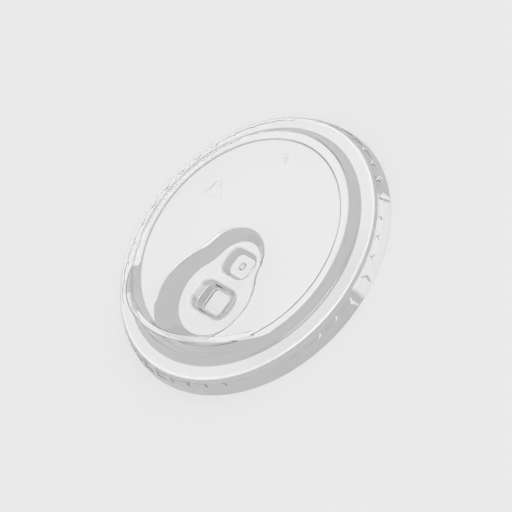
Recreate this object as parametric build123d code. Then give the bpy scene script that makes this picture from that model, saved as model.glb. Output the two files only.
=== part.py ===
from build123d import *
import os
from math import atan2, cos, degrees, radians, sin, sqrt, tan

os.makedirs("parts", exist_ok=True)

# The lid is one sheet of clear plastic, drawn over a mould. It lies on its lower rim:
# +Z is up, the origin is the centre of the rim's plane, and the drinking side faces -Y.
# All sizes are millimetres and degrees, and heights are above the rim's plane.

# Sheet
sheet = 0.4

# Skirt, which grips the cup's rolled rim
rim_radius = 50.5
skirt_flare = 0.9
step_height = 3.2
step_depth = 0.9
step_rise = 0.45
neck_flare = 0.4
shoulder_height = 5.6
shoulder_round = 0.9

# Shoulder ledge and the ring that stands on it
ledge_width = 8.0
ledge_slope = 11.8
ring_width = 3.4
ring_height = 10.15
ring_foot_round = 2.7
ring_top_round = 0.55
outer_lean = 6.5
inner_lean = 2.0

# Raised lip: the ring's crest climbs along a sloping plane on the drinking side
lip_height = 18.0
lip_length = 19.1
lip_slope = 25.5
lip_bottom_blend = 7.0
lip_top_blend = 6.0

# Panel inside the ring, hollowed a little so that drips run to the recess
panel_height = 9.35
panel_dish = 2.6

# Pear-shaped recess: its floor, its wall and how far the floor stays from the ring
floor_height = 3.3
floor_to_ring = 5.1
floor_span = 12.0
floor_wide_radius = 14.1
floor_narrow_radius = 9.1
floor_waist_radius = 16.0
recess_lean = 42.0
recess_foot_round = 0.6
recess_brink_round = 2.2

# Drinking well, its step and its opening
drink_shift = 1.1
drink_length = 11.4
drink_width = 18.0
drink_corner = 4.4
drink_step_depth = 1.1
drink_step_length = 10.1
drink_step_width = 14.0
drink_step_corner = 2.9
drink_step_ledge = 0.35
drink_depth = 2.4
drink_floor_length = 8.9
drink_floor_width = 9.3
drink_floor_corner = 2.1
drink_opening_margin = 0.6

# Small well with the vent
vent_shift = 1.1
vent_well_length = 10.0
vent_well_width = 12.2
vent_well_corner = 3.4
vent_depth = 2.4
vent_floor_length = 7.8
vent_floor_width = 9.0
vent_floor_corner = 2.6
vent_nub_radius = 1.5
vent_nub_height = 0.35
vent_hole_radius = 0.7
nub_shrink = 0.6
nub_taper = 0.75
well_edge_round = 0.9
well_growth = 0.5

# Notches round the skirt, which stiffen it and catch under the cup's rim
notch_count = 42
notch_turn = 2.2
notch_width = 2.2
notch_depth = 0.9
notch_top = 4.0
notch_tip = 0.7

# Small raised marks on the panel, with how far each stays from the ring
mark_line = 0.45
mark_rise = 0.2
triangle_gap = 11.0
triangle_bearing = 154.5
triangle_radius = 4.1
triangle_turn = -20.0
number_gap = 6.15
number_bearing = 99.8
number_size = 3.0
number_turn = 17.5
number_sweep = 235.0

# A length that only reaches past the sheet, so that cuts come out clean
reach = 60.0

# How near two heights are when they count as the same
tolerance = 0.01

# How a solid stands at its place: with its base there, or with its top there
standing_up = (Align.CENTER, Align.CENTER, Align.MIN)
standing_down = (Align.CENTER, Align.CENTER, Align.MAX)

# Radii and places that follow from the sizes above; places run from the axis towards the
# drinking side
step_radius = rim_radius - skirt_flare
neck_radius = step_radius - step_depth
shoulder_radius = neck_radius + neck_flare
ring_radius = shoulder_radius - ledge_width
ring_inner_radius = ring_radius - ring_width
ring_middle_radius = ring_radius - ring_width / 2
skirt_slope = skirt_flare / step_height
lip_start = ring_radius - lip_length
lip_climb = (lip_height - ring_height) / tan(radians(lip_slope))
dish_radius = (ring_inner_radius ** 2 + panel_dish ** 2) / (2 * panel_dish)
dish_centre = panel_height + sqrt(dish_radius ** 2 - ring_inner_radius ** 2)
floor_wide_place = ring_inner_radius - floor_to_ring - floor_wide_radius
floor_narrow_place = floor_wide_place - floor_span
drink_place = floor_wide_place + drink_shift
vent_place = floor_narrow_place - vent_shift


# Height of the sloping ledge at a distance from the axis
def ledge_level(radius):
    return shoulder_height + (shoulder_radius - radius) * tan(radians(ledge_slope))


# Radii of the ring's two walls at a height
def ring_outside(height):
    return ring_radius - (height - ring_height) * tan(radians(outer_lean))


def ring_inside(height):
    return ring_inner_radius + (height - ring_height) * tan(radians(inner_lean))


# A closed outline in the radius-height plane, moved in under its surface
def section(points, inset):
    face = make_face(Plane.XZ * Polyline(*points, close=True))
    return face if inset == 0 else offset(face, -inset, kind=Kind.INTERSECTION)


# The same outline turned about the lid's axis
def turned(points, inset):
    half = Plane.XZ * Pos(reach, 0) * Rectangle(2 * reach, 4 * reach)
    return revolve(section(points, inset) & half, Axis.Z)


# The round edge of a body nearest to a radius and a height
def circle_near(body, radius, height):
    circles = body.edges().filter_by(GeomType.CIRCLE)
    return circles.sort_by(lambda edge: abs(edge.radius - radius) + abs(edge.arc_center.Z - height))[0]


# Skirt, shoulder and ledge, filled down to below the rim
def base(inset):
    points = [
        (ring_middle_radius, -reach),
        (rim_radius + reach * skirt_slope, -reach),
        (step_radius, step_height),
        (neck_radius, step_height + step_rise),
        (shoulder_radius, shoulder_height),
        (ring_middle_radius, ledge_level(ring_middle_radius)),
    ]
    body = turned(points, inset)
    shoulder = circle_near(body, shoulder_radius - inset, shoulder_height - inset)
    return fillet(shoulder, shoulder_round - inset)


# The corner of a face nearest to a place towards the drinking side and a height
def vertex_near(face, place, height):
    return face.vertices().sort_by(lambda point: abs(point.Y + place) + abs(point.Z - height))[0]


# Side view of the ring's crest, which climbs to the lip on the drinking side
def crest_profile(inset):
    lip_end = lip_start + lip_climb
    points = [
        (reach, ring_height),
        (-lip_start, ring_height),
        (-lip_end, lip_height),
        (-reach, lip_height),
        (-reach, -reach),
        (reach, -reach),
    ]
    face = make_face(Plane.YZ * Polyline(*points, close=True))
    face = fillet(vertex_near(face, lip_start, ring_height), lip_bottom_blend)
    face = fillet(vertex_near(face, lip_end, lip_height), lip_top_blend)
    return face if inset == 0 else offset(face, -inset, kind=Kind.INTERSECTION)


# Ring with its lip: two leaning walls, cut off along the crest and rounded there
def ring(inset):
    low = ledge_level(ring_radius) - reach
    high = lip_height + ring_width
    points = [
        (ring_outside(low), low),
        (ring_outside(high), high),
        (ring_inside(high), high),
        (ring_inside(low), low),
    ]
    body = turned(points, inset) & extrude(crest_profile(inset), amount=reach, both=True)
    crest = body.edges().filter_by(
        lambda edge: edge.geom_type != GeomType.LINE and edge.bounding_box().min.Z > panel_height
    )
    return fillet(crest, ring_top_round - inset)


# Pear outline lying at a height: a wide arc, a narrow arc and two hollow arcs that join them
# smoothly
def pear(wide_radius, narrow_radius, waist_radius, height):
    to_wide = wide_radius + waist_radius
    to_narrow = narrow_radius + waist_radius
    along = (floor_span ** 2 + to_wide ** 2 - to_narrow ** 2) / (2 * floor_span)
    across = sqrt(to_wide ** 2 - along ** 2)
    wide_centre = Vector(0, -floor_wide_place, 0)
    narrow_centre = Vector(0, -floor_narrow_place, 0)
    right = Vector(across, along - floor_wide_place, 0)
    wide_join = wide_centre + (right - wide_centre).normalized() * wide_radius
    narrow_join = narrow_centre + (right - narrow_centre).normalized() * narrow_radius
    waist = right - Vector(1, 0, 0).rotate(Axis.Z, degrees(atan2(
        right.Y - (wide_join.Y + narrow_join.Y) / 2, right.X - (wide_join.X + narrow_join.X) / 2
    ))) * waist_radius
    left = [Vector(-point.X, point.Y, 0) for point in (wide_join, waist, narrow_join)]
    edges = [
        ThreePointArc(left[0], wide_centre - Vector(0, wide_radius, 0), wide_join),
        ThreePointArc(wide_join, waist, narrow_join),
        ThreePointArc(narrow_join, narrow_centre + Vector(0, narrow_radius, 0), left[2]),
        ThreePointArc(left[2], left[1], left[0]),
    ]
    return Pos(0, 0, height) * make_face(edges)


# The recess as a solid to cut away: the pear grows upwards along its leaning wall
def recess(inset):
    wider = inset * (1 - sin(radians(recess_lean))) / cos(radians(recess_lean))
    floor = pear(
        floor_wide_radius + wider,
        floor_narrow_radius + wider,
        floor_waist_radius - wider,
        floor_height - inset,
    )
    bowl = extrude(floor, amount=ring_height - floor_height, taper=-recess_lean)
    foot = bowl.faces().sort_by(Axis.Z)[0].edges()
    return fillet(foot, recess_foot_round + inset)


# Rounded rectangle centred on a place towards the drinking side
def pad(place, length, width, corner, height):
    return Pos(0, -place, height) * RectangleRounded(width, length, corner)


# Drinking well as a solid to cut away, with the step part-way down its wall
def drinking_well(inset):
    top = floor_height - inset
    grow = 2 * inset * well_growth
    step = top - drink_step_depth
    upper = loft([
        pad(drink_place, drink_length + grow, drink_width + grow, drink_corner + grow / 2, top),
        pad(drink_place, drink_step_length + grow, drink_step_width + grow, drink_step_corner + grow / 2, step),
    ], ruled=True)
    ledge = 2 * drink_step_ledge
    lower = loft([
        pad(drink_place, drink_step_length - ledge + grow, drink_step_width - ledge + grow,
            drink_step_corner - drink_step_ledge + grow / 2, step),
        pad(drink_place, drink_floor_length + grow, drink_floor_width + grow,
            drink_floor_corner + grow / 2, top - drink_depth),
    ], ruled=True)
    return upper + lower


# Small well with the vent, as a solid to cut away
def vent_well(inset):
    top = floor_height - inset
    grow = 2 * inset * well_growth
    return loft([
        pad(vent_place, vent_well_length + grow, vent_well_width + grow, vent_well_corner + grow / 2, top),
        pad(vent_place, vent_floor_length + grow, vent_floor_width + grow,
            vent_floor_corner + grow / 2, top - vent_depth),
    ], ruled=True)


# Ball whose underside is the panel's dish; it is turned so that its seam stays out of the recess
def dish(radius):
    return Pos(0, 0, dish_centre) * Rot(0, -90, 0) * Sphere(radius)


# Dished panel inside the ring, with the recess and the wells sunk in it
def panel(inset):
    plug = Pos(0, 0, ring_height) * Cylinder(ring_middle_radius, reach, align=standing_down)
    body = plug - dish(dish_radius + inset) - recess(inset)
    brink = body.faces().filter_by(GeomType.SPHERE)[0].inner_wires()[0].edges()
    body = fillet(brink, recess_brink_round - inset)
    body = body - drinking_well(inset) - vent_well(inset)
    floor = body.faces().filter_by(GeomType.PLANE).filter_by(
        lambda face: abs(face.center().Z - floor_height + inset) < tolerance
    )[0]
    return fillet(floor.inner_wires().edges(), well_edge_round - inset)


# The raised seat of the vent, on the small well's floor
def vent_nub(inset):
    wide = vent_nub_radius - inset * nub_shrink
    nub = Cone(wide, wide * nub_taper, vent_nub_height, align=standing_up)
    return Pos(0, -vent_place, floor_height - vent_depth - inset) * nub


# One notch in the skirt, on the +X side: a V that is widest at the top and runs out to a point
def notch(inset):
    half_angle = atan2(notch_width / 2, notch_depth)
    spread = tan(half_angle)
    deeper = inset / sin(half_angle)
    outer = rim_radius + notch_width
    top_root = step_radius - notch_depth - deeper
    tip_root = rim_radius - notch_tip * skirt_slope - deeper
    ends = []
    for root, height in ((tip_root, notch_tip), (top_root, notch_top + inset)):
        half_width = (outer - root) * spread
        corners = Polyline((root, 0), (outer, -half_width), (outer, half_width), close=True)
        ends.append(Pos(0, 0, height) * make_face(corners))
    return loft(ends, ruled=True)


# Everything that lies under the lid's upper surface, or under its lower surface when the inset
# is the sheet's thickness
def form(inset):
    body = base(inset) + ring(inset)
    foot = circle_near(body, ring_radius - inset, ledge_level(ring_radius) - inset)
    body = fillet(foot, ring_foot_round + inset)
    body = body + panel(inset) + vent_nub(inset)
    for cut in PolarLocations(0, notch_count, start_angle=notch_turn):
        body = body - cut * notch(inset)
    return body


# Openings cut right through the sheet: the drinking opening and the vent
def openings():
    length = drink_floor_length - 2 * drink_opening_margin
    width = drink_floor_width - 2 * drink_opening_margin
    corner = drink_floor_corner - drink_opening_margin
    mouth = extrude(pad(drink_place, length, width, corner, 0), amount=floor_height)
    vent = Pos(0, -vent_place, 0) * Cylinder(vent_hole_radius, floor_height, align=standing_up)
    return mouth + vent


# A mark laid out on the panel: turned by an angle, at a bearing round the axis and a distance
# inside the ring
def placed(mark, turn, bearing, gap):
    far = ring_inner_radius - gap
    return Pos(far * cos(radians(bearing)), far * sin(radians(bearing))) * Rot(0, 0, turn) * mark


# A line of the marks' width between two points
def stroke(start, end):
    return trace(Line(start, end), line_width=mark_line)


# Two small raised marks on the panel: a plain triangle and a plain number
def marks():
    corners = RegularPolygon(triangle_radius, 3).vertices()
    triangle = Sketch()
    for start, end in zip(corners, corners[1:] + corners[:1]):
        triangle = triangle + stroke(start, end)
    bow = number_size / 4
    upper = trace(CenterArc((0, bow), bow, -90, number_sweep), line_width=mark_line)
    lower = trace(CenterArc((0, -bow), bow, 90, -number_sweep), line_width=mark_line)
    flat = placed(triangle, triangle_turn, triangle_bearing, triangle_gap)
    flat = flat + placed(upper + lower, number_turn, number_bearing, number_gap)
    skin = dish(dish_radius + sheet / 2) - dish(dish_radius - mark_rise)
    return extrude(flat, amount=panel_height) & skin


def lid():
    body = form(0) - form(sheet) - openings() + marks()
    return body & Cylinder(reach, reach, align=standing_up)


part = lid()
part.label = "cup_lid"
export_step(part, "parts/cup_lid.step")
print("cup_lid", part.is_valid, len(part.solids()), round(part.volume, 1))
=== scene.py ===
# %% [markdown]
# # A clear sip-through lid for a paper cup
# The real lid is one sheet of clear plastic, drawn over a mould with vacuum. This lesson builds
# the sheet as one surface, gives it its thickness, and then gives it the look of clear plastic
# on a pale table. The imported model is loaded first: it says how large the lid is and where it
# stands, and everything below is made to the same sizes.

import bpy
import bmesh
import math
from mathutils import Matrix, Vector


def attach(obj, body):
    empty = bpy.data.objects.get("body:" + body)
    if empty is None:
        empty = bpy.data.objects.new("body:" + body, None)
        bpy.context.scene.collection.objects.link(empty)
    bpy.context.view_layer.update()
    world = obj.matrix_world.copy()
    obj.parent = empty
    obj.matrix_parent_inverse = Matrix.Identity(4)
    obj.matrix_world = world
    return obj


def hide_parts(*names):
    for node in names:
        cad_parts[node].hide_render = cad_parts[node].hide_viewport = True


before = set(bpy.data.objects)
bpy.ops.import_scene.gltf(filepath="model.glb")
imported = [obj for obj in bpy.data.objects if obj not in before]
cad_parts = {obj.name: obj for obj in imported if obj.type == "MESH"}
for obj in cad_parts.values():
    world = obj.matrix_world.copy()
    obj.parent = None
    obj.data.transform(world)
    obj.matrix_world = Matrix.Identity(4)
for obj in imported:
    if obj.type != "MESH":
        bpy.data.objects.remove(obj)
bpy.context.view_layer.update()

# %% [markdown]
# ## Sizes
# The lid's sizes are written in millimetres, the unit a mould maker uses, and the finished mesh
# is scaled to metres at the end. The drinking side faces -Y.

# %% Sizes of the lid
SHEET = 0.3
RIM, STEP, NECK, SHOULDER = 50.5, 49.6, 48.7, 49.1
HEM_Z, STEP_Z, NECK_Z, SHOULDER_Z = 0.2, 3.2, 3.65, 5.6
LEDGE_SLOPE = math.radians(11.8)
RING_OUT, RING_IN, RING_Z = 41.1, 37.7, 10.15
LEAN_OUT, LEAN_IN = math.radians(6.5), math.radians(2.0)
PANEL_Z, DISH = 9.35, 2.6
LIP_Z, LIP_START, LIP_SLOPE = 17.99, 22.0, math.radians(25.5)
LIP_BLEND = 0.7
NOTCHES, NOTCH_TURN = 42, math.radians(2.2)
COLUMNS_PER_NOTCH = 8
COLUMNS = NOTCHES * COLUMNS_PER_NOTCH
print("columns round the lid:", COLUMNS)

# %% [markdown]
# ## The turned part
# Skirt, shoulder, ledge and ring are round, so one line is drawn from the rim inwards and spun
# about the lid's axis, as on a lathe. Each corner of the line is rounded first with a vertex
# bevel, because a drawn sheet has no sharp corner. The line starts with a short upright hem, so
# that the sheet's cut edge will lie flat on the table.

# %% Draw the line and round its corners
RING_FOOT_Z = 7.2
foot_r = RING_OUT + (RING_Z - RING_FOOT_Z) * math.tan(LEAN_OUT)
# The painted shade and the painted highlight of the ledge change at these radii, so the line has
# points there.
GREY_TO, SHOULDER_LINE, LEDGE_POINTS = 43.65, (47.25, 48.0), (46.9, 45.3)
PAINT_BLEND = 0.15


def ledge_z(r):
    return SHOULDER_Z + (SHOULDER - r) * math.tan(LEDGE_SLOPE)


# Each corner: radius and height on the lid, then its rounding and the rounding's pieces.
corners = [
    (RIM, 0.0, 0, 0),
    (RIM, HEM_Z, 0, 0),
    (RIM - 0.5 * (RIM - STEP) / STEP_Z, 0.7, 0, 0),
    (STEP, STEP_Z, 0.45, 4),
    (NECK, NECK_Z, 0.3, 4),
    (SHOULDER, SHOULDER_Z, 1.6, 9),
    (SHOULDER_LINE[0], ledge_z(SHOULDER_LINE[0]), 0, 0),
    *[(r, ledge_z(r), 0, 0) for r in LEDGE_POINTS],
    (GREY_TO + PAINT_BLEND, ledge_z(GREY_TO + PAINT_BLEND), 0, 0),
    (GREY_TO, ledge_z(GREY_TO), 0, 0),
    (foot_r, ledge_z(foot_r), 2.7, 9),
    (RING_OUT, RING_Z, 1.0, 7),
    (RING_IN, RING_Z, 0.5, 5),
    (RING_IN - 0.03, PANEL_Z, 0.2, 2),
    (RING_IN - 0.5, PANEL_Z - 0.07, 0, 0),
]
bm = bmesh.new()
drawn = [bm.verts.new((r, 0, z)) for r, z, _, _ in corners]
for a, b in zip(drawn, drawn[1:]):
    bm.edges.new((a, b))


def turn_angle(before, here, after):
    return (here.co - before.co).angle(after.co - here.co)


rounds = []
for i, (_, _, radius, segments) in enumerate(corners):
    if not radius:
        continue
    reach = radius * math.tan(turn_angle(drawn[i - 1], drawn[i], drawn[i + 1]) / 2)
    rounds.append((drawn[i], reach, segments))
for corner, reach, segments in rounds:
    bmesh.ops.bevel(
        bm, geom=[corner], offset=reach, offset_type="OFFSET", segments=segments,
        profile=0.5, affect="VERTICES", material=-1,
    )
print("points on the line:", len(bm.verts))

# %% Spin the line about the axis
bmesh.ops.spin(
    bm, geom=bm.verts[:] + bm.edges[:], cent=(0, 0, 0), axis=(0, 0, 1),
    angle=math.tau, steps=COLUMNS, use_merge=True,
)
print("faces after the spin:", len(bm.faces))

# %% [markdown]
# ## The raised lip
# The ring's crest climbs along a sloping plane on the drinking side. Every point of the crest is
# lifted to that plane, and drawn in a little, because the ring's walls lean. Both ends of the
# slope are blended with a smooth maximum and minimum.

# %% Lift the crest
CREST_OUT, CREST_IN = 1.1, 0.6


def soft_max(a, b, width):
    part = max(0.0, min(1.0, 0.5 + 0.5 * (a - b) / width))
    return b + (a - b) * part + width * part * (1 - part)


def crest_height(y):
    climb = RING_Z + (-y - LIP_START) * math.tan(LIP_SLOPE)
    return -soft_max(-LIP_Z, -soft_max(climb, RING_Z, LIP_BLEND), LIP_BLEND)


for v in bm.verts:
    r = math.hypot(v.co.x, v.co.y)
    below = CREST_OUT if r > RING_OUT - 1.2 else CREST_IN
    if v.co.z > RING_Z - below and r < RING_OUT + 0.2:
        lift = crest_height(v.co.y) - RING_Z
        share = (r - RING_IN) / (RING_OUT - RING_IN)
        inwards = lift * (share * math.tan(LEAN_OUT) - (1 - share) * math.tan(LEAN_IN))
        v.co.x *= (r - inwards) / r
        v.co.y *= (r - inwards) / r
        v.co.z += lift
print("highest point of the lip:", round(max(v.co.z for v in bm.verts), 2))

# %% [markdown]
# ## The notches
# Each notch is a V pressed into the skirt: wide at the step and running out to a point near the
# rim. The columns of the mesh are first slid along so that three of them follow the V's two
# edges and its root, and the root column is then pushed inwards.

# %% Press the notches
NOTCH_TIP, NOTCH_SINK, NOTCH_SPREAD = 0.7, 0.56, 1.9
TIP_RADIUS = 50.3
LEAST_HALF = 0.12
pitch = math.tau / NOTCHES


def press_notch(v):
    r = math.hypot(v.co.x, v.co.y)
    angle = math.atan2(v.co.y, v.co.x) - NOTCH_TURN
    place = round(angle / pitch * COLUMNS_PER_NOTCH)
    notch = round(place / COLUMNS_PER_NOTCH)
    column = place - notch * COLUMNS_PER_NOTCH
    depth = max(0.0, r - (TIP_RADIUS - (v.co.z - NOTCH_TIP) * NOTCH_SINK))
    if v.co.z <= NOTCH_TIP:
        depth = 0.0
    half = max(LEAST_HALF, depth * NOTCH_SPREAD)
    slide = 0.0
    if column:
        rest = pitch * r / 2 - half
        steps = (abs(column) - 1) / (COLUMNS_PER_NOTCH / 2 - 1)
        slide = math.copysign((half + rest * steps) / r, column)
    else:
        r -= depth
    angle = notch * pitch + slide + NOTCH_TURN
    v.co = (r * math.cos(angle), r * math.sin(angle), v.co.z)
    return column if depth else None


# The whole mesh is turned first, so that a column of points runs through each notch's root.
notch_spin = Matrix.Rotation(NOTCH_TURN, 3, "Z")
bmesh.ops.rotate(bm, cent=(0, 0, 0), matrix=notch_spin, verts=bm.verts)
pressed = [
    v for v in bm.verts if v.co.z < NECK_Z + 0.2 and math.hypot(v.co.x, v.co.y) > NECK - 0.4
]
column_of = {v: press_notch(v) for v in pressed}
for e in {e for v in pressed for e in v.link_edges}:
    a, b = (column_of.get(v) for v in e.verts)
    if a in (-1, 0, 1) and a == b:
        e.smooth = False
print("points of the skirt with its notches:", len(pressed))

# %% [markdown]
# ## The dished panel and its pear-shaped recess
# The panel inside the ring hangs a little, like a very shallow bowl. The recess is sunk in it.
# Its outline is a pear: a wide arc, a narrow arc and two hollow arcs between them. The distance
# from that outline decides the height of every point: flat floor, a small round at the foot, a
# wall leaning outwards, a soft brink, and then the panel. The mesh is drawn in from the ring,
# loop by loop, along rays from a point inside the pear, so that its lines follow the recess.

# %% The pear and the height of the panel
FLOOR_Z = 3.3
WIDE, WIDE_R = Vector((0, -18.5)), 14.1
NARROW, NARROW_R = Vector((0, -6.5)), 9.1
WAIST_R = 16.0
WALL_LEAN = math.radians(42)
WALL_TURN = math.radians(90) - WALL_LEAN
FOOT_ROUND = 0.6
HEART = Vector((0, -14.0))
BRINK_ROUND, BRINK_EXTRA = 2.0, 1.6
dish_radius = (RING_IN ** 2 + DISH ** 2) / (2 * DISH)
span = (NARROW - WIDE).length
to_wide, to_narrow = WIDE_R + WAIST_R, NARROW_R + WAIST_R
along = (span ** 2 + to_wide ** 2 - to_narrow ** 2) / (2 * span)
waist = Vector((math.sqrt(to_wide ** 2 - along ** 2), WIDE.y + along))
foot_reach = FOOT_ROUND * math.tan(WALL_TURN / 2)


def cross(a, b):
    return a.x * b.y - a.y * b.x


def outside_pear(p):
    q = Vector((abs(p.x), p.y))
    arm = q - waist
    if cross(arm, WIDE - waist) > 0 > cross(arm, NARROW - waist):
        return WAIST_R - arm.length
    return min((q - WIDE).length - WIDE_R, (q - NARROW).length - NARROW_R)


def dish(p):
    at_ring = math.sqrt(dish_radius ** 2 - RING_IN ** 2)
    return PANEL_Z - (math.sqrt(dish_radius ** 2 - p.length_squared) - at_ring)


def brink_round(p):
    narrow_end = max(0.0, min(1.0, (p.y + 20) / 18))
    return BRINK_ROUND + BRINK_EXTRA * narrow_end


def past_brink(p):
    return outside_pear(p) - (dish(p) - FLOOR_Z) * math.tan(WALL_LEAN)


def panel_height(p):
    out, past, big = outside_pear(p), past_brink(p), brink_round(p)
    reach = big * math.tan(WALL_TURN / 2)
    if past >= reach:
        return dish(p)
    if past > reach - big * math.sin(WALL_TURN):
        return dish(p) - big + math.sqrt(big ** 2 - (reach - past) ** 2)
    if out > FOOT_ROUND * math.sin(WALL_TURN) - foot_reach:
        return FLOOR_Z + out / math.tan(WALL_LEAN)
    if out > -foot_reach:
        return FLOOR_Z + FOOT_ROUND - math.sqrt(FOOT_ROUND ** 2 - (out + foot_reach) ** 2)
    return FLOOR_Z


print("waist centre:", tuple(round(c, 2) for c in waist))
print("panel at the middle:", round(dish(Vector((0, 0))), 2))

# %% Draw the panel in, loop by loop
RAY_LONG, HALVINGS = 30.0, 40
SLIVER = 0.025
PANEL_LOOPS, BRINK_LOOPS, WALL_LOOPS, FOOT_LOOPS = 9, 7, 4, 4


def along_ray(ray, measure, goal):
    """Distance along a ray at which the measure reaches the goal, found by halving."""
    low, high = 0.0, RAY_LONG
    for _ in range(HALVINGS):
        middle = (low + high) / 2
        if measure(HEART + ray * middle) < goal:
            low = middle
        else:
            high = middle
    return low


def stations(ray, edge):
    """Distances from the heart along one ray, from the ring inwards."""
    half = math.tan(WALL_TURN / 2)
    brink = along_ray(ray, lambda p: past_brink(p) - brink_round(p) * half, 0)
    here = brink_round(HEART + ray * brink)
    far = [edge + (brink - edge) * i / PANEL_LOOPS for i in range(1, PANEL_LOOPS + 1)]
    for i in range(1, BRINK_LOOPS + 1):
        goal = here * half - here * math.sin(WALL_TURN * i / BRINK_LOOPS)
        far.append(along_ray(ray, past_brink, goal))
    top = outside_pear(HEART + ray * far[-1])
    foot = FOOT_ROUND * math.sin(WALL_TURN) - foot_reach
    for i in range(1, WALL_LOOPS + 1):
        far.append(along_ray(ray, outside_pear, top + (foot - top) * i / WALL_LOOPS))
    for i in range(FOOT_LOOPS - 1, -1, -1):
        goal = FOOT_ROUND * math.sin(WALL_TURN * i / FOOT_LOOPS) - foot_reach
        far.append(along_ray(ray, outside_pear, goal))
    last = edge
    for i, distance in enumerate(far):
        last = min(distance, last - SLIVER)
        far[i] = last
    return far


def new_loop(edges):
    """Extrudes an open border; gives the new border's edges and points."""
    made = bmesh.ops.extrude_edge_only(bm, edges=edges)["geom"]
    loop = [g for g in made if isinstance(g, bmesh.types.BMEdge) and g.is_boundary]
    return loop, list({v for e in loop for v in e.verts})


def drop_to_panel(v):
    p = Vector((v.co.x, v.co.y))
    v.co.z += panel_height(p) - dish(p)


for v in bm.verts:
    if v.co.z < PANEL_Z + 0.35 and math.hypot(v.co.x, v.co.y) < RING_IN + 0.1:
        drop_to_panel(v)
loop = [e for e in bm.edges if e.is_boundary and e.verts[0].co.z > 1]
rays = {}
for e in loop:
    for v in e.verts:
        p = Vector((v.co.x, v.co.y)) - HEART
        key = round(math.atan2(p.y, p.x), 5)
        rays[key] = stations(p.normalized(), p.length)
rows = len(next(iter(rays.values())))
for row in range(rows):
    loop, points = new_loop(loop)
    for v in points:
        p = Vector((v.co.x, v.co.y)) - HEART
        key = round(math.atan2(p.y, p.x), 5)
        if key not in rays:
            key = min(rays, key=lambda k: abs(k - key))
        place = HEART + p.normalized() * rays[key][row]
        v.co = (place.x, place.y, panel_height(place))
print("loops drawn in:", rows, "faces now:", len(bm.faces))
recess_edge = loop

# %% [markdown]
# ## The drinking well and the vent well
# Both wells are stacks of rounded rectangles that get smaller as they go down. Each stack starts
# from a circle of points, which are moved out onto the first rectangle, and the open loop is
# then extruded down level by level. The drinking well ends in an open hole, and the small well
# in a low nub with the air hole.

# %% Stack the wells
WELL_POINTS = 96


def onto_outline(direction, wide, long, corner):
    """Distance along a direction from the middle of a rounded rectangle to its outline."""
    low, high = 0.0, wide + long
    straight = Vector((wide / 2 - corner, long / 2 - corner))
    for _ in range(HALVINGS):
        middle = (low + high) / 2
        x = abs(direction.x) * middle - straight.x
        y = abs(direction.y) * middle - straight.y
        far = math.hypot(max(x, 0), max(y, 0)) + min(max(x, y), 0) - corner
        if far < 0:
            low = middle
        else:
            high = middle
    return low


def well(middle, levels):
    """Draws a well down through its levels: width, length, corner and height of each."""
    points = bmesh.ops.create_circle(
        bm, cap_ends=False, segments=WELL_POINTS, radius=1.0
    )["verts"]
    bmesh.ops.translate(bm, vec=(middle.x, middle.y, 0), verts=points)
    first = loop = list({e for v in points for e in v.link_edges})
    for level, (wide, long, corner, height) in enumerate(levels):
        if level:
            loop, points = new_loop(loop)
        for v in points:
            direction = Vector((v.co.x - middle.x, v.co.y - middle.y)).normalized()
            far = middle + direction * onto_outline(direction, wide, long, corner)
            v.co = (far.x, far.y, height)
    return first


drinking = well(Vector((0, -19.6)), [
    # the rounded brim
    (18.9, 12.3, 4.85, 3.3), (18.45, 11.85, 4.6, 3.27), (18.05, 11.5, 4.4, 3.19),
    (17.6, 11.25, 4.3, 3.06), (17.0, 11.05, 4.15, 2.9),
    # the upper slope and the step below it
    (14.6, 10.3, 3.1, 2.38), (14.2, 10.15, 2.95, 2.27), (13.8, 9.9, 2.8, 2.2),
    (13.4, 9.6, 2.65, 2.18), (13.1, 9.4, 2.6, 2.08),
    # the lower wall and the floor's border, with the opening in its middle
    (9.9, 9.1, 2.2, 1.15), (9.5, 8.95, 2.15, 1.0), (9.0, 8.6, 2.0, 0.92), (8.1, 7.7, 1.5, 0.9),
])
NUB_MIDDLE = Vector((0, -5.4))
vent = well(NUB_MIDDLE, [
    # the rounded brim
    (13.1, 10.9, 3.85, 3.3), (12.7, 10.5, 3.65, 3.27), (12.35, 10.15, 3.5, 3.19),
    (12.0, 9.8, 3.4, 3.05), (11.7, 9.6, 3.3, 2.9),
    # the wall and the floor
    (9.6, 8.2, 2.7, 1.3), (9.3, 8.0, 2.65, 1.1), (8.9, 7.7, 2.5, 0.95), (8.4, 7.2, 2.3, 0.9),
    # the nub and its hole
    (4.0, 4.0, 1.99, 0.9), (3.1, 3.1, 1.54, 0.9), (2.9, 2.9, 1.44, 0.95),
    (2.5, 2.5, 1.24, 1.18), (2.3, 2.3, 1.14, 1.25), (1.4, 1.4, 0.69, 1.25),
])
borders = recess_edge + drinking + vent
bmesh.ops.triangle_fill(bm, use_beauty=True, use_dissolve=False, edges=borders)
print("faces with both wells:", len(bm.faces))

# %% [markdown]
# ## Faces outwards, and paint for the sheet
# The seams are merged, and the faces are turned outwards while the sheet is still one skin.
# Each point then gets a few numbers that the material reads: where a white painted highlight
# goes, where the painted grey shade of a steep wall is left off, where painted grey shade goes
# although the sheet is flat, the skirt's side that catches the window, which is left lighter as
# painted light, and the thin dark line of painted shade under the shoulder and the lip.

# %% Close the seams and face outwards
bmesh.ops.remove_doubles(bm, verts=bm.verts, dist=1e-4)
bmesh.ops.recalc_face_normals(bm, faces=bm.faces)
highest = max(bm.faces, key=lambda f: f.calc_center_median().z)
if highest.normal.z < 0:
    bmesh.ops.reverse_faces(bm, faces=bm.faces)
bm.normal_update()
print("open borders, which are the rim and the two holes:", sum(e.is_boundary for e in bm.edges))

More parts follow.
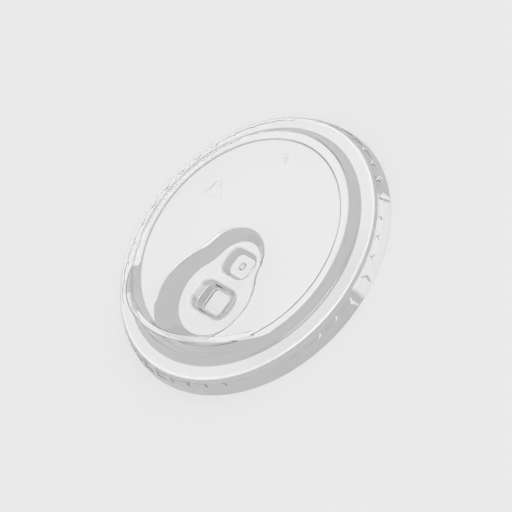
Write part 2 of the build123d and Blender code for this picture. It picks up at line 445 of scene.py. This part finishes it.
# %% Paint the points
TOUCH = 0.02
PANEL_TO, BRINK_CLEAR = 34.0, 27.0
# How strongly the shoulder, the crest and the wells' brims get a white painted highlight.
SHOULDER_HIGHLIGHT, CREST_HIGHLIGHT, WELL_RIM_HIGHLIGHT = 0.5, 0.1, 0.35
painted_highlight, clear, painted_shade, side, line = (
    bm.verts.layers.float.new(name) for name in ("painted_highlight", "clear", "painted_shade", "side", "line")
)
for v in bm.verts:
    r, z = math.hypot(v.co.x, v.co.y), v.co.z
    top = crest_height(v.co.y)
    slope = math.degrees(v.normal.angle(Vector((0, 0, 1))))
    # The thin dark line of painted shade runs under the shoulder and under the lip.
    under_shoulder = r > SHOULDER - 0.75 and 4.8 < z < 5.9
    under_crest = r > 39.6 and top - 0.75 < z < top - TOUCH
    v[line] = float(under_shoulder or under_crest)
    # The skirt gets painted grey shade, and the points where the window's side may be painted
    # lighter are marked.
    if r > SHOULDER_LINE[1]:
        v[painted_shade] = 1.0
        v[side] = float(r > 48.75 or z < 5.0)
    # On the shoulder's rounding the painted grey shade is left off, and a white painted
    # highlight goes on.
    elif r > SHOULDER_LINE[0] - TOUCH:
        v[clear], v[painted_highlight] = 1.0, SHOULDER_HIGHLIGHT
    # The ledge at the foot of the ring gets painted grey shade, although it is flat.
    elif RING_OUT - 2 < r < GREY_TO + TOUCH and z < top - 0.6:
        v[painted_shade] = 1.0
    # The crest is kept free of painted shade and gets a faint white painted highlight.
    elif PANEL_TO < r < RING_OUT + 0.1 and z > max(top - 0.25, PANEL_Z + 0.3):
        v[clear], v[painted_highlight] = 1.0, CREST_HIGHLIGHT
    # Gentle slopes at the recess's brink are kept free of painted shade.
    elif r < PANEL_TO and z > FLOOR_Z + 1.5:
        v[clear] = float(slope < BRINK_CLEAR)
    # The wells' rounded brims get a white painted highlight.
    elif r < PANEL_TO and 3.0 < z < FLOOR_Z - 0.01:
        v[painted_highlight] = WELL_RIM_HIGHLIGHT
    # The nub round the air hole is kept free of painted shade.
    elif z < 1.3 and (Vector((v.co.x, v.co.y)) - NUB_MIDDLE).length < 2.1:
        v[clear] = 1.0
print("points painted clear:", sum(v[clear] > 0 for v in bm.verts))

# %% [markdown]
# ## The sheet's thickness
# The skin is scaled to metres and made an object. A Solidify modifier then gives it its
# thickness, downwards from the skin, so the outer form stays as it was drawn.

# %% Make the object and give it its thickness
METRES = 0.001


def make_object(name):
    """Scales the bmesh to metres and puts it into a new object of the scene."""
    bmesh.ops.scale(bm, vec=(METRES, METRES, METRES), verts=bm.verts)
    mesh = bpy.data.meshes.new(name)
    bm.to_mesh(mesh)
    bm.free()
    made = bpy.data.objects.new(name, mesh)
    bpy.context.scene.collection.objects.link(made)
    return made


lid = make_object("lid_shell")
lid.data.shade_smooth()
solid = lid.modifiers.new("sheet", "SOLIDIFY")
solid.thickness = SHEET * METRES
solid.offset = -1
solid.use_even_offset = True
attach(lid, "root")
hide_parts("cup_lid")
print("the sheet has", len(lid.data.polygons), "faces before it gets its thickness")

# %% [markdown]
# ## Two small marks
# A plain triangle and a plain number stand a little proud of the panel. The triangle is one flat
# face whose border is split off with an inset, which leaves open borders alone unless
# use_boundary is set. The number is two arcs that cross where they meet, so only the upper one
# is made, a small rectangle spun about the middle of its bow. It is cut off at the number's
# middle and mirrored there, which leaves one closed skin with nothing inside it.

# %% Raise the marks
MARK_LINE, MARK_RISE, MARK_SINK = 0.45, 0.2, 0.05
MARK_TALL = MARK_RISE + MARK_SINK
TRIANGLE_RADIUS, TRIANGLE_TURN, TRIANGLE_BEARING, TRIANGLE_GAP = 4.1, -20.0, 154.5, 11.0
NUMBER_TURN, NUMBER_BEARING, NUMBER_GAP = 17.5, 99.8, 6.15
BOW, SWEEP, BOW_STEPS = 0.75, math.radians(235.0), 12
bm = bmesh.new()


def turned(points, degrees, axis="Z"):
    turn = Matrix.Rotation(math.radians(degrees), 3, axis)
    bmesh.ops.rotate(bm, cent=(0, 0, 0), matrix=turn, verts=points)


def place_mark(points, turn, bearing, gap):
    """Turns a mark and moves it out along its bearing, a gap short of the ring."""
    far, bearing = RING_IN - gap, math.radians(bearing)
    turned(points, turn)
    place = (far * math.cos(bearing), far * math.sin(bearing), 0)
    bmesh.ops.translate(bm, vec=place, verts=points)
    for v in points:
        v.co.z += dish(Vector((v.co.x, v.co.y))) - MARK_SINK


# create_circle puts its first corner on +Y, and the mould's drawing has it on +X.
bmesh.ops.create_circle(bm, cap_ends=True, segments=3, radius=TRIANGLE_RADIUS + MARK_LINE)
turned(bm.verts[:], -90)
middle = bm.faces[:]
bmesh.ops.inset_region(
    bm, faces=middle, thickness=MARK_LINE, use_even_offset=True, use_boundary=True
)
bmesh.ops.delete(bm, geom=middle, context="FACES")
risen = bmesh.ops.extrude_face_region(bm, geom=bm.faces[:], use_keep_orig=True)["geom"]
risen = [g for g in risen if isinstance(g, bmesh.types.BMVert)]
bmesh.ops.translate(bm, vec=(0, 0, MARK_TALL), verts=risen)
place_mark(bm.verts[:], TRIANGLE_TURN, TRIANGLE_BEARING, TRIANGLE_GAP)
triangle_faces = len(bm.faces)

before = set(bm.verts)
bar = bmesh.ops.create_grid(bm, x_segments=1, y_segments=1, size=0.5)["verts"]
bmesh.ops.scale(bm, vec=(MARK_LINE, MARK_TALL, 1), verts=bar)
turned(bar, 90, "X")
bmesh.ops.translate(bm, vec=(BOW, 0, MARK_TALL / 2), verts=bar)
turned(bar, -90)
bmesh.ops.translate(bm, vec=(0, BOW, 0), verts=bar)


def touching(points):
    """The points with every edge and face on them."""
    edges = {e for v in points for e in v.link_edges}
    faces = {f for v in points for f in v.link_faces}
    return points + list(edges) + list(faces)


def number_points():
    return [v for v in bm.verts if v not in before]


bmesh.ops.spin(
    bm, geom=touching(bar), cent=(0, BOW, 0), axis=(0, 0, 1), angle=SWEEP, steps=BOW_STEPS
)
bmesh.ops.bisect_plane(
    bm, geom=touching(number_points()), plane_co=(0, 0, 0), plane_no=(0, 1, 0), clear_inner=True
)
bmesh.ops.mirror(
    bm, geom=touching(number_points()), matrix=Matrix.Identity(4), merge_dist=1e-4, axis="Y"
)
place_mark(number_points(), NUMBER_TURN, NUMBER_BEARING, NUMBER_GAP)
bmesh.ops.recalc_face_normals(bm, faces=bm.faces)
open_edges = sum(not e.is_manifold for e in bm.edges)
marks = make_object("panel_marks")
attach(marks, "root")
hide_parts("cup_lid")
number_faces = len(marks.data.polygons) - triangle_faces
print("triangle:", triangle_faces, "faces, number:", number_faces, "faces")
print("open edges of the marks:", open_edges)

# %% [markdown]
# ## A small language for shaders
# A material is a drawing of nodes, and sums in it are easier to read as sums. The class below
# wraps a number that a node puts out and turns Python's own signs into Math nodes, also when the
# plain number stands first. Every other node is made by one method, which takes the node's type,
# its settings and what goes into its sockets.

# %% Numbers that vary over a surface


class Number:
    def __init__(self, plan, socket):
        self.plan, self.socket = plan, socket

    def _sum(self, operation, *others):
        sockets = dict(enumerate((self, *others)))
        return self.plan.node("ShaderNodeMath", {"operation": operation}, sockets)

    def __add__(self, other):
        return self._sum("ADD", other)

    def __mul__(self, other):
        return self._sum("MULTIPLY", other)

    def __sub__(self, other):
        return self._sum("SUBTRACT", other)

    def __truediv__(self, other):
        return self._sum("DIVIDE", other)

    def __rsub__(self, other):
        return self * -1 + other

    def __pow__(self, other):
        return self._sum("POWER", other)

    def __abs__(self):
        return self._sum("ABSOLUTE")

    __radd__, __rmul__ = __add__, __mul__

    def above(self, other):
        return self._sum("MAXIMUM", other)

    def ramp(self, low, high):
        """0 at low, 1 at high, with soft ends."""
        return self.plan.node(
            "ShaderNodeMapRange", {"interpolation_type": "SMOOTHSTEP"},
            {"Value": self, "From Min": low, "From Max": high},
        )


class Plan:
    """A material that is being drawn."""

    def __init__(self, name):
        self.material = bpy.data.materials.new(name)
        self.material.use_nodes = True
        self.tree = self.material.node_tree
        self.tree.nodes.clear()

    def node(self, kind, settings=None, inputs=None, out=0):
        made = self.tree.nodes.new(kind)
        for name, value in (settings or {}).items():
            setattr(made, name, value)
        for name, value in (inputs or {}).items():
            if isinstance(value, Number):
                self.tree.links.new(value.socket, made.inputs[name])
            else:
                made.inputs[name].default_value = value
        return Number(self, made.outputs[out])

    def mix(self, mask, first, second):
        """The first colour where the mask is 0, the second where it is 1."""
        sockets = {0: mask, 6: first, 7: second}
        return self.node("ShaderNodeMix", {"data_type": "RGBA"}, sockets, out=2)

    def painted(self, name):
        return self.node("ShaderNodeAttribute", {"attribute_name": name}, out=2)

    def finish(self, shader):
        end = self.tree.nodes.new("ShaderNodeOutputMaterial")
        self.tree.links.new(shader.socket, end.inputs["Surface"])
        return self.material


print("signs a number knows: + - * / ** and abs()")

# %% [markdown]
# ## Clear plastic sheet
# The sheet is glossy and clear, with very small waves from the drawing. From outside, its steep
# walls and a few flat bands get a painted grey shade, and its edges seen at a slant get a
# painted darker shade. Inside, a thin dark line of painted shade runs under the shoulder and the
# lip, and a few rounded edges get a white painted highlight. Light from the lamps passes through
# it with a small loss, which a Light Path switch gives without noise.

# %% The sheet's material
CLEAR = (0.995, 1.0, 1.0, 1.0)
# The three greys below are painted shade: of the steep walls, of the thin dark line, and of
# edges seen at a slant.
WALL_SHADE_GREY = (0.385, 0.39, 0.39, 1.0)
LINE_SHADE_GREY = (0.16, 0.16, 0.16, 1.0)
EDGE_SHADE_GREY = (0.12, 0.12, 0.12, 1.0)
# The white below is a painted highlight.
HIGHLIGHT_WHITE = (0.97, 0.97, 0.97, 1.0)
UNDIMMED, DIMMED = (1.0, 1.0, 1.0, 1.0), (0.92, 0.92, 0.92, 1.0)
BEND, COAT_BEND = 1.18, 1.6
# The skirt's side at this bearing is left lighter, as painted light from a window.
LIT_SIDE_BEARING = math.radians(25.5)
LIT_SIDE = (math.cos(LIT_SIDE_BEARING), math.sin(LIT_SIDE_BEARING), 0.0)


def sheet_material(name, outer, coat):
    plan = Plan(name)
    place = plan.node("ShaderNodeTexCoord", out=3)
    normal = plan.node("ShaderNodeTexCoord", out=1)
    facing = plan.node("ShaderNodeSeparateXYZ", None, {0: normal}, out=2)
    front = 1 - plan.node("ShaderNodeNewGeometry", out=6)

    # Where the wall is steep it gets a painted grey shade, but on one side of the skirt that
    # shade is left off as painted light from the window.
    lit_side = plan.node(
        "ShaderNodeVectorMath", {"operation": "DOT_PRODUCT"}, {0: normal, 1: LIT_SIDE}, out=1
    )
    level = (1 - facing * facing).above(0.01) ** 0.5
    lit_side = (lit_side / level).ramp(0.930, 0.945) * plan.painted("side")
    steep = (1 - abs(facing).ramp(0.935, 0.972)).above(plan.painted("painted_shade"))
    steep = steep * (1 - plan.painted("clear")) * (1 - lit_side)
    if outer:
        # Seen at a slant, the sheet's edges get a painted darker shade.
        edge = plan.node("ShaderNodeLayerWeight", None, {"Blend": 0.5}, out=1).ramp(0.62, 0.9)
        colour = plan.mix(edge * front, plan.mix(steep * front, CLEAR, WALL_SHADE_GREY), EDGE_SHADE_GREY)
    else:
        # Inside, a thin dark line of painted shade runs under the shoulder and the lip.
        colour = plan.mix(plan.painted("line") * front, CLEAR, LINE_SHADE_GREY)

    # Long shallow waves bend the mirror images, and a fine haze breaks the gloss.
    waves = plan.node(
        "ShaderNodeTexNoise", None,
        {"Vector": place, "Scale": 60.0, "Detail": 2.0, "Roughness": 0.4},
    )
    relief = plan.node(
        "ShaderNodeBump", None, {"Strength": 0.03, "Distance": 0.002, "Height": waves}
    )
    haze = plan.node(
        "ShaderNodeTexNoise", None,
        {"Vector": place, "Scale": 900.0, "Detail": 3.0, "Roughness": 0.6},
    )
    glass = plan.node(
        "ShaderNodeBsdfPrincipled", None,
        {"Base Color": colour, "Roughness": 0.004 + haze * 0.012, "IOR": BEND,
         "Transmission Weight": 1.0, "Coat Weight": coat, "Coat Roughness": 0.03,
         "Coat IOR": COAT_BEND, "Normal": relief},
    )
    # A matt white, mixed in where it is marked, is a painted highlight on the sheet.
    highlight_shader = plan.node(
        "ShaderNodeBsdfPrincipled", None,
        {"Base Color": HIGHLIGHT_WHITE, "Roughness": 0.3, "Normal": relief},
    )
    sheet = plan.node(
        "ShaderNodeMixShader", None, {0: plan.painted("painted_highlight") * front, 1: glass, 2: highlight_shader}
    )

    # Light on its way to the table goes straight through, a little dimmed by a steep wall.
    passing = plan.node("ShaderNodeBsdfTransparent", None, {"Color": UNDIMMED})
    if outer:
        dimmed = plan.node("ShaderNodeBsdfTransparent", None, {"Color": DIMMED})
        passing = plan.node("ShaderNodeMixShader", None, {0: steep, 1: passing, 2: dimmed})
    shadow_ray = plan.node("ShaderNodeLightPath", out=1)
    diffuse_ray = plan.node("ShaderNodeLightPath", out=2)
    return plan.finish(plan.node(
        "ShaderNodeMixShader", None, {0: shadow_ray.above(diffuse_ray), 1: sheet, 2: passing}
    ))


outside = sheet_material("clear_sheet_outside", True, 1.0)
inside = sheet_material("clear_sheet_inside", False, 0.0)
print("materials of the sheet:", outside.name, "and", inside.name)
lid.data.materials.append(outside)
lid.data.materials.append(inside)
marks.data.materials.append(outside)
# Solidify gives the underside the second material, and the cut edge the first.
solid.material_offset = 1
solid.material_offset_rim = 0

# %% [markdown]
# ## The pale table
# The lid stands on a plain pale table. It is one large square, matt and without a gloss of its
# own, so that it shows the lid's soft shadow and nothing else. Its colour alone makes the pale
# background, and no lamp is added for it.

# %% Floor
TABLE_GREY, TABLE_HALF = (0.83, 0.83, 0.83, 1.0), 3.0
table = Plan("pale_table")
table_material = table.finish(table.node(
    "ShaderNodeBsdfPrincipled", None,
    {"Base Color": TABLE_GREY, "Roughness": 0.8, "Specular IOR Level": 0.0},
))
bm = bmesh.new()
bmesh.ops.create_grid(bm, x_segments=1, y_segments=1, size=TABLE_HALF / METRES)
floor = make_object("floor")
floor.data.materials.append(table_material)
print("the table's side in metres:", floor.dimensions.x)

# %% [markdown]
# ## Soft light from the room
# Clear plastic is seen by what it mirrors and bends, so the room itself is the lamp. It is
# bright low down and straight overhead, with a darker band between, and the lid's walls pick
# that band up. All of it is white and smooth, so nothing has a hard edge in the plastic.

# %% Light
world = bpy.data.worlds.new("soft_room")
world.use_nodes = True
bpy.context.scene.world = world
sky = world.node_tree
up = sky.nodes.new("ShaderNodeSeparateXYZ")
towards = sky.nodes.new("ShaderNodeTexCoord")
sky.links.new(towards.outputs["Generated"], up.inputs[0])


def sky_band(low, high, at_low, at_high):
    """A brightness that changes softly between two heights in the sky, 1 being overhead."""
    band = sky.nodes.new("ShaderNodeMapRange")
    band.interpolation_type = "SMOOTHSTEP"
    sockets = {"From Min": low, "From Max": high, "To Min": at_low, "To Max": at_high}
    for name, value in sockets.items():
        band.inputs[name].default_value = value
    sky.links.new(up.outputs["Z"], band.inputs["Value"])
    return band.outputs[0]


glow = sky.nodes.new("ShaderNodeMath")
sky.links.new(sky_band(0.83, 0.93, 1.03, 0.08), glow.inputs[0])
sky.links.new(sky_band(0.955, 0.985, 0.0, 3.0), glow.inputs[1])
sky.links.new(glow.outputs[0], sky.nodes["Background"].inputs["Strength"])
sky.nodes["Background"].inputs["Color"].default_value = (1, 1, 1, 1)
print("nodes in the sky:", len(sky.nodes))

# %% [markdown]
# ## The camera
# The camera looks down on the drinking side with a long lens, so the round lid shows as an
# almost true ellipse. Its three directions are written out, because a lid that leans in the
# picture can't be framed by aiming at a point alone.

# %% Camera
IMAGE_PIXELS, FOCAL_PIXELS, SENSOR = 512, 2500, 36
cam = bpy.data.cameras.new("camera")
cam.sensor_width = SENSOR
cam.lens = FOCAL_PIXELS / IMAGE_PIXELS * SENSOR
cam.clip_start = 0.01
camera = bpy.data.objects.new("camera", cam)
right = Vector((0.625735, 0.575193, -0.526886))
down = Vector((0.336863, -0.808493, -0.482558))
ahead = Vector((-0.703548, 0.124465, -0.699663))
pose = Matrix((right, -down, -ahead)).transposed().to_4x4()
pose.translation = Vector((0.56714, -0.10019, 0.56287))
camera.matrix_world = pose
bpy.context.scene.collection.objects.link(camera)
bpy.context.scene.camera = camera
bpy.context.scene.view_settings.view_transform = "Standard"
print("lens in millimetres:", round(cam.lens, 1))
